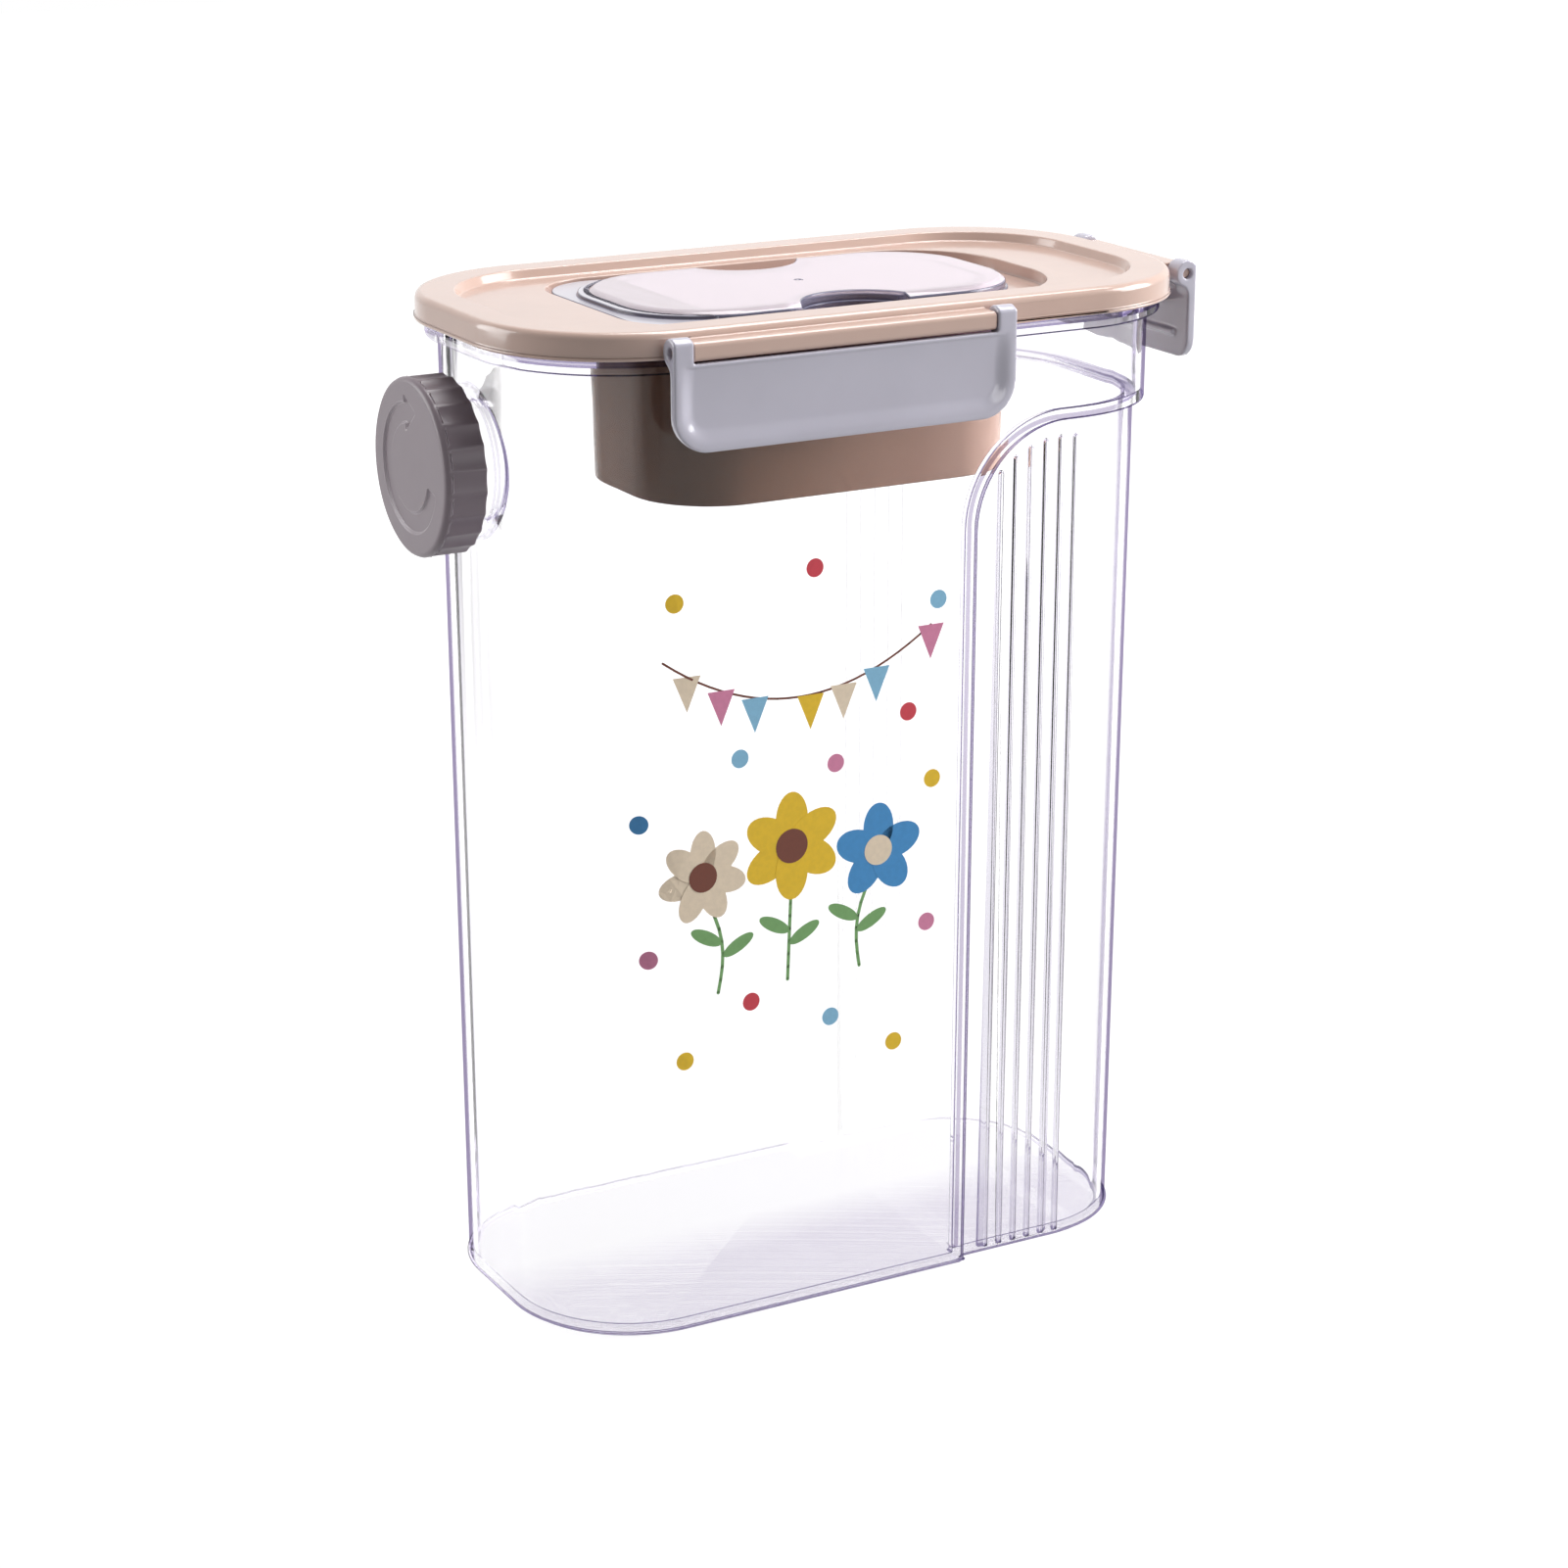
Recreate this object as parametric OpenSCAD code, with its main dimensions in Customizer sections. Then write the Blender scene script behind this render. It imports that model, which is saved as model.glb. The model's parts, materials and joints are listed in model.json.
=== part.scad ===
// Clear storage tank with a clip-on lid, a measuring cup in the lid and a screw-capped side spout.
// Millimetres. Origin: centre of the base, on the surface it stands on. +X runs along the long
// side towards the grip end, the spout is at -X, and +Z is up.

/* [Tank] */
// Half the length of the tank at its base
tank_a = 86.1; // [84:0.1:92]
// Half the depth of the tank at its base
tank_b = 43; // [41:0.1:48]
// Corner radius of the tank at its base
tank_r = 31.9; // [28:0.1:34]
// Growth of each side from the base to the rim, for draft
tank_draft = 1.35; // [0.8:0.05:2]
// Height of the tank's rim
tank_h = 246.1; // [240:0.1:250]
// Wall thickness
tank_wall = 2.2; // [1.6:0.1:2.4]
// Floor thickness
tank_floor = 2.8; // [2:0.1:4]
// Height of the underside of the rim flange
flange_z = 240.2; // [238:0.1:241]
// Thickness of the rim flange
flange_t = 2.4; // [1.6:0.1:3]
// How far the rim flange stands out of the wall
flange_out = 3; // [2.6:0.1:3.2]

/* [Grip recess] */
// Where the grip recess starts, from the middle of the tank
grip_x = 25; // [20:0.5:30]
// Height of the ledge above the recess
grip_z = 218; // [210:1:222]
// Radius of the recess's upper corner
grip_r = 25; // [15:1:30]
// Depth of the recess
grip_d = 2.75; // [2:0.05:3]
// Ribs on each long side
rib_count = 6; // [4:1:7]
// Distance between ribs
rib_pitch = 4.24; // [3.5:0.02:4.3]
// Width of a rib
rib_w = 0.9; // [0.6:0.1:1.2]
// Height of a rib above the recess
rib_out = 0.7; // [0.4:0.1:1]

/* [Spout and cap] */
// Height of the spout's centre
spout_z = 214.3; // [205:0.1:216]
// Bore radius of the spout
spout_bore_r = 14; // [12:0.1:15]
// Outer radius of the neck
neck_r = 16.4; // [15:0.1:16.6]
// Outer radius of the cap
cap_r = 21.1; // [20.4:0.1:22]
// Distance of the cap's face from the middle of the tank
cap_face = 103.3; // [102:0.1:105]
// Length of the cap
cap_len = 10.6; // [10:0.1:14]
// Finger scoops round the cap
scoop_count = 24; // [20:1:36]

/* [Lid] */
// Half the length of the lid
lid_a = 92; // [91:0.1:94]
// Half the depth of the lid
lid_b = 49; // [48:0.1:51]
// Corner radius of the lid
lid_r = 36; // [34:0.1:38]
// Height of the top of the lid
lid_top = 250.4; // [249:0.1:252]
// Height of the lower edge of the skirt
skirt_z = 244; // [243:0.1:245]
// Width of the raised rim
rim_w = 9; // [8.8:0.1:9.4]
// Depth of the panel below the rim
panel_d = 2.2; // [1.8:0.1:3]
// Depth of the cup recess below the panel
recess_d = 3; // [2:0.1:3.2]

/* [Measuring cup] */
// Half the length of the cup's cover
cover_a = 51; // [50:0.1:52]
// Half the depth of the cup's cover
cover_b = 28.4; // [28:0.1:30]
// Corner radius of the cover
cover_r = 21.5; // [20:0.1:26]
// Half the width of a finger notch
notch_half_w = 14.5; // [12:0.5:15]
// Depth of a finger notch
notch_d = 11; // [6:0.1:12]
// Height of the underside of the well
well_z = 203; // [200:0.5:210]

/* [Latches] */
// Length of the latch on the front
latch_len = 90; // [80:1:92]
// Length of the latch on the grip end
end_latch_len = 49; // [44:1:52]
// Offset of the front latch from the middle, away from the grip
latch_shift = 17.25; // [14:0.25:18]
// Distance of the front hinge axis from the lid's side
pin_out = 3.6; // [3.5:0.1:4]
// Distance of the end hinge axis from the lid's side
end_pin_out = 5.4; // [3.6:0.1:6]
// Height of the hinge axis
pin_z = 246.3; // [246:0.1:246.6]
// Length of the front latch below its hinge axis
latch_drop = 23; // [21:0.5:25]
// Length of the end latch below its hinge axis
end_drop = 21.6; // [20:0.1:23]

/* [Hidden] */
$fn = 96;
eps = 0.01;

// Centres of the tank's corners, which the lid's inner walls share
corner_x = tank_a - tank_r;

// Tank
tank_edge = 1.4;
rib_first = 7.7;
rib_low = 2.4;
rib_clear = 4.5;
foot_out = 1.8;
foot_len = 2.6;

// Lid
lid_wall = 1.8;
rim_z = lid_top - 2.4;
panel_z = lid_top - panel_d;
recess_z = panel_z - recess_d;
edge_round = 1.8;
plug_z = 243.8;
plug_t = 1.6;
pan_slope = 1;
lip_out = 0.35;
lip_t = 0.9;
seal_gap = 0.1;
seal_side = 0.3;

// Well and cup
recess_b = 33.8;
recess_left = 57.4;
recess_left_r = 16;
recess_right = 61.4;
recess_right_r = 26;
grip_tip = 26;
grip_gap = 1.3;
grip_low = 2.4;
grip_high = 3.3;
grip_step = 2.7;
cover_drop = 1;
cover_bevel = 1.9;
cup_rim = 0.6;
well_a = 49.4;
well_b = 28.4;
well_r = 20.4;
well_grow = 1;
cup_gap = 0.6;
cup_wall = 1.6;
flange_cup_t = 1.6;
cover_gap = 0.05;
notch_r = (notch_half_w * notch_half_w + notch_d * notch_d) / (2 * notch_d);

// Latch section, measured from the hinge axis; y is negative outwards
knuckle_r = 3.3;
web_r = 3;
plate_out = 2.6;
plate_t = 2.3;
plate_top = -2.6;
plate_corner = 9;
end_corner = 5;
border_side = 2.4;
border_low = 1.4;
dish_d = 0.9;
arm_w = 5.05;
stub_r = 1.25;
stub_gap = 0.06;
stub_short = 1.2;
block_r = 2.2;
block_round = 1.2;
block_gap = 0.25;
hook_gap = 0.8;
hook_t = 1.8;
hook_bite = 0.6;

// Cap
cap_wall = 2.2;
gasket_t = 1.7;
gasket_gap = 0.1;
cap_bevel = 1.2;
scoop_d = 0.45;
ridge_w = 0.6;
scoop_end = 1.9;
mark_outer = 15.3;
mark_inner = 10.6;
mark_d = 0.6;

// Colours as they look
clear = [0.9, 0.92, 0.98, 0.35];
beige = [0.84, 0.74, 0.68];
lavender = [0.69, 0.69, 0.75];
mauve = [0.53, 0.49, 0.52];
milky = [0.88, 0.87, 0.9, 0.8];
silicone = [0.93, 0.93, 0.93];

// Growth of the tank wall at a height
function draft_at(z) = tank_draft * z / tank_h;

// ---- shapes ----

// Rounded rectangle from half sizes
module outline(a, b, r) {
    square([2 * (a - r), 2 * b], center = true);
    square([2 * a, 2 * (b - r)], center = true);
    for (sx = [-1, 1], sy = [-1, 1])
        translate([sx * (a - r), sy * (b - r)])
            circle(r = r);
}

// Upright block with a rounded rectangular outline
module slab(a, b, r, z0, z1) {
    translate([0, 0, z0])
        linear_extrude(height = z1 - z0)
            outline(a, b, r);
}

// Ring between a rounded rectangle and the same one drawn in
module ring(a, b, r, width, z0, z1) {
    translate([0, 0, z0])
        linear_extrude(height = z1 - z0)
            difference() {
                outline(a, b, r);
                outline(a - width, b - width, r - width);
            }
}

// Slanted bar: a trapezoid of half widths w0 and w1, extruded along X
module slanted_bar(half_len, w0, w1, h) {
    rotate([90, 0, 90])
        linear_extrude(height = 2 * half_len, center = true)
            polygon([[-w0, 0], [w0, 0], [w1, h], [-w1, h]]);
}

// Block whose sides grow outwards from z0 to z1
module drafted(a, b, r, z0, z1, grow) {
    h = z1 - z0;
    translate([0, 0, z0]) {
        slanted_bar(a - r, b, b + grow, h);
        rotate([0, 0, 90])
            slanted_bar(b - r, a, a + grow, h);
        for (sx = [-1, 1], sy = [-1, 1])
            translate([sx * (a - r), sy * (b - r), 0])
                cylinder(h = h, r1 = r, r2 = r + grow);
    }
}

// Rounded outline round the cup, with wider corners on the right, grown outwards
module recess_outline(grow) {
    hull()
        for (side = [-1, 1]) {
            translate([recess_left_r - recess_left, side * (recess_b - recess_left_r)])
                circle(r = recess_left_r + grow);
            translate([recess_right - recess_right_r, side * (recess_b - recess_right_r)])
                circle(r = recess_right_r + grow);
        }
}

// ---- tank ----

// Block to the right of the step and below the ledge, with a rounded corner
module grip_region(grow) {
    r = grip_r + grow;
    x0 = grip_x - grow;
    z1 = grip_z + grow;
    reach = lid_a + 20;
    rotate([90, 0, 0])
        linear_extrude(height = 4 * tank_b, center = true) {
            translate([x0 + r, -20])
                square([reach - x0 - r, z1 + 20]);
            translate([x0, -20])
                square([r + eps, z1 - r + 20]);
            translate([x0 + r, z1 - r])
                circle(r = r);
        }
}

// Drafted body of the tank, drawn in by inset
module tank_body(inset, z0, z1) {
    drafted(tank_a - inset + draft_at(z0), tank_b - inset + draft_at(z0),
        tank_r - inset + draft_at(z0), z0, z1, draft_at(z1) - draft_at(z0));
}

// Body with the grip recess: full size outside the region, drawn in inside it
module recessed_body(inset, grow, z0, z1) {
    difference() {
        tank_body(inset, z0, z1);
        grip_region(grow);
    }
    tank_body(inset + grip_d, z0, z1);
}

// Ribs on one long side of the recess, each ending a little below the curved step
module grip_ribs() {
    first = grip_x + rib_first;
    root = 1;
    y0 = tank_b - grip_d - root;
    for (i = [0 : rib_count - 1]) {
        x = first + i * rib_pitch;
        dx = min(0, x - (grip_x + grip_r));
        top = grip_z - grip_r + sqrt(grip_r * grip_r - dx * dx) - rib_clear;
        translate([x - rib_w / 2, y0, rib_low])
            cube([rib_w, root + rib_out + draft_at(top / 2), top - rib_low]);
    }
}

module tank() {
    inner = grip_d + tank_edge;
    neck_end = cap_face - cap_wall - gasket_t - 2 * gasket_gap;
    color(clear)
        difference() {
            union() {
                recessed_body(0, 0, tank_edge, tank_h);
                // lower edge, drawn in to a soft corner
                drafted(tank_a - inner, tank_b - inner, tank_r - inner, 0, tank_edge, tank_edge);
                difference() {
                    drafted(tank_a - tank_edge, tank_b - tank_edge, tank_r - tank_edge,
                        0, tank_edge, tank_edge);
                    grip_region(0);
                }
                slab(tank_a + draft_at(flange_z) + flange_out,
                    tank_b + draft_at(flange_z) + flange_out,
                    tank_r + draft_at(flange_z) + flange_out, flange_z, flange_z + flange_t);
                grip_ribs();
                mirror([0, 1, 0])
                    grip_ribs();
                // spout neck with its foot ring
                translate([-neck_end, 0, spout_z])
                    rotate([0, 90, 0])
                        cylinder(h = neck_end - tank_a + tank_r, r = neck_r);
                translate([-tank_a - foot_len, 0, spout_z])
                    rotate([0, 90, 0])
                        cylinder(h = foot_len + tank_r / 4, r = neck_r + foot_out);
            }
            recessed_body(tank_wall, tank_wall, tank_floor, tank_h + 1);
            translate([-cap_face - 1, 0, spout_z])
                rotate([0, 90, 0])
                    cylinder(h = cap_face - tank_a + tank_r, r = spout_bore_r);
        }
}

// ---- lid ----

// Outline of the panel inside the rim, grown outwards; its corners follow the tank's
module pan_outline(grow) {
    outline(lid_a - rim_w + grow, lid_b - rim_w + grow, lid_a - rim_w - corner_x + grow);
}

// Points on the rim's rounded upper edge, to a hundredth, so that its steps meet exactly
function round_in(t) = round(100 * edge_round * (1 - cos(90 * t))) / 100;
function round_up(t) = round(100 * edge_round * sin(90 * t)) / 100;

// Raised rim with a rounded upper edge and a sloped inner side
module rim_top() {
    pan_r = lid_a - rim_w - corner_x;
    over = 0.28;
    steps = 3;
    base = lid_top - edge_round;
    difference() {
        union() {
            slab(lid_a, lid_b, lid_r, rim_z - 1, base);
            for (i = [0 : steps - 1]) {
                in0 = round_in(i / steps);
                in1 = round_in((i + 1) / steps);
                drafted(lid_a - in0, lid_b - in0, lid_r - in0, base + round_up(i / steps),
                    base + round_up((i + 1) / steps), in0 - in1);
            }
        }
        drafted(lid_a - rim_w - pan_slope, lid_b - rim_w - pan_slope, pan_r - pan_slope,
            panel_z, lid_top + over, pan_slope * (1 + over / panel_d));
        translate([0, 0, rim_z - 2])
            linear_extrude(height = panel_z - rim_z + 2.1)
                pan_outline(-pan_slope);
    }
}

// Channel under the rim, open downwards, between the skirt and the locating wall
module seal_channel(z0, z1, side) {
    translate([0, 0, z0])
        linear_extrude(height = z1 - z0)
            difference() {
                outline(lid_a - lid_wall - side, lid_b - lid_wall - side,
                    lid_r - lid_wall - side);
                pan_outline(plug_t + side);
            }
}

// Panel, cup recess and well
module lid_pan() {
    recess_wall = 1.6;
    difference() {
        union() {
            translate([0, 0, panel_z - lid_wall])
                linear_extrude(height = lid_wall)
                    pan_outline(eps);
            translate([0, 0, recess_z - lid_wall])
                linear_extrude(height = recess_d + lid_wall - 0.2)
                    recess_outline(recess_wall);
            drafted(well_a, well_b, well_r, well_z, recess_z - 1, well_grow);
        }
        translate([0, 0, recess_z])
            linear_extrude(height = recess_d + 1)
                recess_outline(0);
        drafted(well_a - lid_wall, well_b - lid_wall, well_r - lid_wall,
            well_z + lid_wall, recess_z + 1, well_grow);
    }
}

// Hinge block of one latch, with a stub at each end; its axis is the local X axis
module hinge_block(length, out) {
    half = length / 2 - arm_w - block_gap;
    reach = out + lid_wall;
    core = block_r - block_round;
    rotate([0, 90, 0])
        cylinder(h = 2 * (length / 2 - stub_short), r = stub_r, center = true);
    // bar with rounded outer edges, clear of the latch's sweep
    rotate([90, 0, 90])
        linear_extrude(height = 2 * half, center = true) {
            translate([-core, -block_r])
                square([core + reach, 2 * block_r]);
            translate([-block_r, -core])
                square([block_r + reach, 2 * core]);
            for (s = [-1, 1])
                translate([-core, s * core])
                    circle(r = block_round);
        }
}

// Puts a latch or its hinge block on each side
module at_front() {
    translate([-latch_shift, -lid_b - pin_out, pin_z])
        children();
}

module at_right() {
    translate([lid_a + end_pin_out, 0, pin_z])
        rotate([0, 0, 90])
            children();
}

module lid() {
    color(beige)
        difference() {
            union() {
                rim_top();
                ring(lid_a, lid_b, lid_r, lid_wall, skirt_z, rim_z);
                // thin lip round the skirt's lower edge
                ring(lid_a + lip_out, lid_b + lip_out, lid_r + lip_out, lid_wall,
                    skirt_z, skirt_z + lip_t);
                translate([0, 0, plug_z])
                    linear_extrude(height = rim_z + 0.5 - plug_z)
                        difference() {
                            pan_outline(plug_t);
                            pan_outline(0);
                        }
                lid_pan();
                at_front()
                    hinge_block(latch_len, pin_out);
                at_right()
                    hinge_block(end_latch_len, end_pin_out);
            }
            seal_channel(skirt_z - 1, rim_z, 0);
        }
}

module lid_seal() {
    color(silicone)
        seal_channel(tank_h + seal_gap, rim_z, seal_side);
}

// ---- latches ----

// Face of a latch: straight top, rounded lower corners
module plate_outline(half, low, corner, top) {
    translate([-half, low + corner])
        square([2 * half, top - low - corner]);
    translate([-half + corner, low])
        square([2 * (half - corner), corner + eps]);
    for (s = [-1, 1])
        translate([s * (half - corner), low + corner])
            circle(r = corner);
}

// Section of an arm: knuckle, and a web that runs into the back of the plate
module arm_section() {
    back = -plate_out + plate_t;
    web_y = back + web_r;
    web_z = -sqrt((knuckle_r + web_r) * (knuckle_r + web_r) - web_y * web_y);
    circle(r = knuckle_r);
    difference() {
        polygon([[back - 1, web_z], [web_y, web_z], [0, 0], [back - 1, 0]]);
        translate([web_y, web_z])
            circle(r = web_r);
    }
}

// Hollow of a latch's face: a wide cylinder cut within the raised borders
module dish(half, drop, corner) {
    z0 = -drop + border_low;
    mid = (z0 + plate_top) / 2;
    rise = (plate_top - z0) / 2;
    dish_r = (rise * rise + dish_d * dish_d) / (2 * dish_d);
    intersection() {
        rotate([90, 0, 0])
            linear_extrude(height = 4 * plate_out, center = true)
                plate_outline(half - border_side, z0, corner - border_side, 0);
        translate([0, -plate_out - dish_r + dish_d, mid])
            rotate([0, 90, 0])
                cylinder(h = 2 * half, r = dish_r, center = true);
    }
}

// Latch with its hinge axis on the local X axis, hanging down, its outside towards -Y
module latch(length, hook_len, out, drop, corner) {
    half = length / 2;
    back = -plate_out + plate_t;
    hook_z = flange_z - hook_gap - hook_t - pin_z;
    flange_y = out + lid_b - (tank_b + draft_at(flange_z) + flange_out);
    rib_z = 5.4;
    rib_t = 1.4;
    rib_d = 1.2;
    difference() {
        union() {
            // plate with rounded lower corners
            translate([0, back, 0])
                rotate([90, 0, 0])
                    linear_extrude(height = plate_t)
                        plate_outline(half, -drop, corner, plate_top);
            // arms with the knuckles
            for (s = [-1, 1])
                translate([s * (half - arm_w / 2), 0, 0])
                    rotate([90, 0, 90])
                        linear_extrude(height = arm_w, center = true)
                            arm_section();
        }
        // the outer face is flat up to the knuckles
        translate([-half - 1, -plate_out - 10, -drop - 1])
            cube([length + 2, 10, drop + 10]);
        dish(half, drop, corner);
        rotate([0, 90, 0])
            cylinder(h = length + 2, r = stub_r + stub_gap, center = true);
    }
    // hook under the rim flange, and a stiffening rib below it
    translate([-hook_len / 2, back - eps, hook_z])
        cube([hook_len, flange_y + hook_bite - back, hook_t]);
    translate([-half + rib_z, back - eps, -drop + rib_z])
        cube([length - 2 * rib_z, rib_d, rib_t]);
}

module latch_front() {
    color(lavender)
        at_front()
            latch(latch_len, 58, pin_out, latch_drop, plate_corner);
}

module latch_right() {
    color(lavender)
        at_right()
            latch(end_latch_len, 24, end_pin_out, end_drop, end_corner);
}

// ---- measuring cup ----

// Upright cylinders that cut the finger notches; grow widens them
module notches(z0, z1, half_depth, grow) {
    for (s = [-1, 1])
        translate([0, s * (half_depth - notch_d + notch_r), z0])
            cylinder(h = z1 - z0, r = notch_r + grow);
}

module measuring_cup() {
    a = well_a - lid_wall - cup_gap;
    b = well_b - lid_wall - cup_gap;
    r = well_r - lid_wall - cup_gap;
    z0 = well_z + lid_wall + 0.4;
    z1 = recess_z + 0.05;
    color(clear)
        difference() {
            union() {
                drafted(a, b, r, z0, z1 + eps, well_grow);
                slab(cover_a + cup_rim, cover_b + cup_rim, cover_r + cup_rim, z1, z1 + flange_cup_t);
            }
            difference() {
                drafted(a - cup_wall, b - cup_wall, r - cup_wall, z0 + cup_wall,
                    z1 + flange_cup_t + 1, well_grow);
                notches(z0, z1 + flange_cup_t + 2, cover_b, cup_wall);
            }
            notches(z0 - 1, z1 + flange_cup_t + 1, cover_b, 0);
        }
}

module cup_cover() {
    z0 = recess_z + 0.05 + flange_cup_t + cover_gap;
    z1 = lid_top - cover_drop;
    bevel_z = z1 - 1.1;
    lip = 2.6;
    color(clear)
        difference() {
            union() {
                slab(cover_a, cover_b, cover_r, z0, bevel_z);
                drafted(cover_a, cover_b, cover_r, bevel_z, z1, -cover_bevel);
                // plug that drops into the cup's mouth
                slab(well_a - lid_wall - cup_gap - cup_wall - 0.3,
                    well_b - lid_wall - cup_gap - cup_wall - 0.3,
                    well_r - lid_wall - cup_gap - cup_wall - 0.3, z0 - lip, z0 + eps);
            }
            notches(z0 - lip - 1, z1 + 1, cover_b, 0);
            // the plug keeps clear of the cup's indented walls
            notches(z0 - lip - 1, z0, cover_b, cup_wall + 0.4);
            // hollow inside the plug
            difference() {
                slab(well_a - 6, well_b - 6, well_r - 6, z0 - lip - 1, z0 + 1);
                notches(z0 - lip - 2, z0 + 2, cover_b, 3.4);
            }
            // small gate mark in the middle
            translate([0, 0, z1 - 0.4])
                cylinder(h = 1, r = 0.8);
        }
}

// Crescent outside the cup's left end, within the outline given as its child
module crescent(z0, z1) {
    gap = cup_rim + 2 * cover_gap;
    translate([0, 0, z0])
        linear_extrude(height = z1 - z0)
            difference() {
                children();
                outline(cover_a + gap, cover_b + gap, cover_r + gap);
                translate([-grip_tip, -recess_b - 1])
                    square([2 * cover_a, 2 * recess_b + 2]);
            }
}

module cup_grip() {
    z0 = recess_z + 0.05;
    tip_r = 1;
    low_r = recess_left_r - grip_gap;
    color(milky)
        union() {
            crescent(z0, z0 + grip_low)
                hull()
                    for (side = [-1, 1]) {
                        translate([recess_left_r - recess_left, side * (recess_b - recess_left_r)])
                            circle(r = low_r);
                        translate([-grip_tip, side * (cover_b + cup_rim - tip_r)])
                            circle(r = tip_r);
                    }
            crescent(z0, z0 + grip_high)
                translate([-grip_step, 0])
                    outline(cover_a, cover_b, cover_r);
        }
}

// ---- cap ----

// Turning mark on the cap's face: part of a broad ring with an arrow head, as seen from outside
module turning_mark() {
    tail = -15;
    head = 97;
    far = 2 * cap_r;
    barb = 1.8;
    difference() {
        circle(r = mark_outer);
        circle(r = mark_inner);
        polygon([[0, 0], [far * cos(tail), far * sin(tail)], [far * cos(head / 3), far * sin(head / 3)],
            [far * cos(head), far * sin(head)]]);
    }
    rotate(head)
        polygon([[mark_inner - barb, 0.1], [mark_outer + barb, 0.1],
            [(mark_inner + mark_outer) / 2, -6]]);
}

// Cap with its axis on the local Z axis, its open end at z = 0
module cap_shape() {
    chord = cap_r * sin(180 / scoop_count) - ridge_w / 2;
    edge_y = sqrt(cap_r * cap_r - chord * chord);
    sag = edge_y - cap_r + scoop_d;
    scoop_r = (chord * chord + sag * sag) / (2 * sag);
    difference() {
        union() {
            cylinder(h = cap_len - cap_bevel, r = cap_r);
            translate([0, 0, cap_len - cap_bevel])
                cylinder(h = cap_bevel * 0.6, r1 = cap_r, r2 = cap_r - cap_bevel * 0.3);
            translate([0, 0, cap_len - cap_bevel * 0.4])
                cylinder(h = cap_bevel * 0.4, r1 = cap_r - cap_bevel * 0.3, r2 = cap_r - cap_bevel);
        }
        for (i = [0 : scoop_count - 1])
            rotate([0, 0, i * 360 / scoop_count])
                translate([cap_r - scoop_d + scoop_r, 0, -1])
                    cylinder(h = cap_len - scoop_end + 1, r = scoop_r);
        translate([0, 0, -1])
            cylinder(h = cap_len - cap_wall + 1, r = neck_r + 0.5);
        translate([0, 0, cap_len - mark_d])
            linear_extrude(height = 1)
                rotate(-90)
                    turning_mark();
    }
}

module spout_cap() {
    color(mauve)
        translate([-cap_face + cap_len, 0, spout_z])
            rotate([0, -90, 0])
                cap_shape();
}

module cap_gasket() {
    color(silicone)
        translate([-cap_face + cap_wall + gasket_gap, 0, spout_z])
            rotate([0, 90, 0])
                cylinder(h = gasket_t, r = neck_r + 0.2);
}

tank();
lid();
lid_seal();
latch_front();
latch_right();
measuring_cup();
cup_cover();
cup_grip();
spout_cap();
cap_gasket();
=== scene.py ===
"""Clear storage box with a clip-on lid: finishes, softened edges, printed decoration, studio and camera.

Metres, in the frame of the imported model: origin at the middle of the base, +X towards the grip end,
-Y the front, +Z up. Constants of the object's shape are in millimetres.
"""
import json
import math

import bmesh
import bpy
import numpy as np
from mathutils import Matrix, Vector

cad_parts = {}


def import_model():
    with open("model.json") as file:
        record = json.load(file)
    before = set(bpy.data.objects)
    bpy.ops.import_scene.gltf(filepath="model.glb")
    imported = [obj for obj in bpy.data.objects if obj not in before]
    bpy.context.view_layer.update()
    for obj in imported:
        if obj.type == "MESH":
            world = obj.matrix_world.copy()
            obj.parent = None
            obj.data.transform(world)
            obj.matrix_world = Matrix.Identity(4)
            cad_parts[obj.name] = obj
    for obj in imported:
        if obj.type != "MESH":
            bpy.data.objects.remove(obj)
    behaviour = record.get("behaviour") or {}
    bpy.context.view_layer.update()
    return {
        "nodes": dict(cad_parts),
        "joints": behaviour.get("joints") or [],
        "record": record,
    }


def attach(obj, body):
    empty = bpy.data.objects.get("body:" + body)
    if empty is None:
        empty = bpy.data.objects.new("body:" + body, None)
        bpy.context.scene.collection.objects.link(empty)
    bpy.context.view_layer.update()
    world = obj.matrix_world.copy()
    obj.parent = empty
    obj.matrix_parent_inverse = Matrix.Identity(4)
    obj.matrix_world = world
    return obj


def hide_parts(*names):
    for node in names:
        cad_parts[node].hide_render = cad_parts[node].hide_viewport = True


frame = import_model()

NODES = frame["nodes"]
MM = 0.001

# Camera, found from the box's outlines
CAMERA_AT = Vector((-425.6, -764.7, 404.6)) * MM
CAMERA_YAW = math.radians(28.87)
CAMERA_PITCH = math.radians(17.95)
IMAGE_SIDE = 1601
FOCAL_PIXELS = 3715
SENSOR = 36.0

# Tank walls: half sizes and corner radius at the base, and their growth up to the rim
TANK_HALF_DEPTH = 43.0
TANK_HALF_LENGTH = 86.1
TANK_CORNER = 31.9
TANK_DRAFT = 1.35
TANK_HEIGHT = 246.1

# Grip: place of its step, height of its ledge, radius of the corner between them, and its ribs
GRIP_X = 25.0
GRIP_Z = 218.0
GRIP_CORNER = 25.0
RIBS_MIDDLE = 44.5
RIBS_HALF = 14.0
FIRST_RIB = 32.7

# Top of the well, just under the lid's channel
WELL_TOP = 243.6

# Latches, from the hinge axis: joint, direction of the length, lower edge and corner radius
LATCHES = {
    "latch_front": ("latch_front_hinge", (1, 0, 0), -23.0, 9.0),
    "latch_right": ("latch_right_hinge", (0, 1, 0), -21.6, 5.0),
}
LATCH_SLOT = "latch_lavender"
LATCH_FACE = 2.6
LATCH_TOP = -2.6
LATCH_VOXEL = 0.36
LATCH_SMOOTHING = 5
DISH_BORDER = 1.3
DISH_FILLET = 4.2
DISH_DEPTH = 1.15

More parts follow.
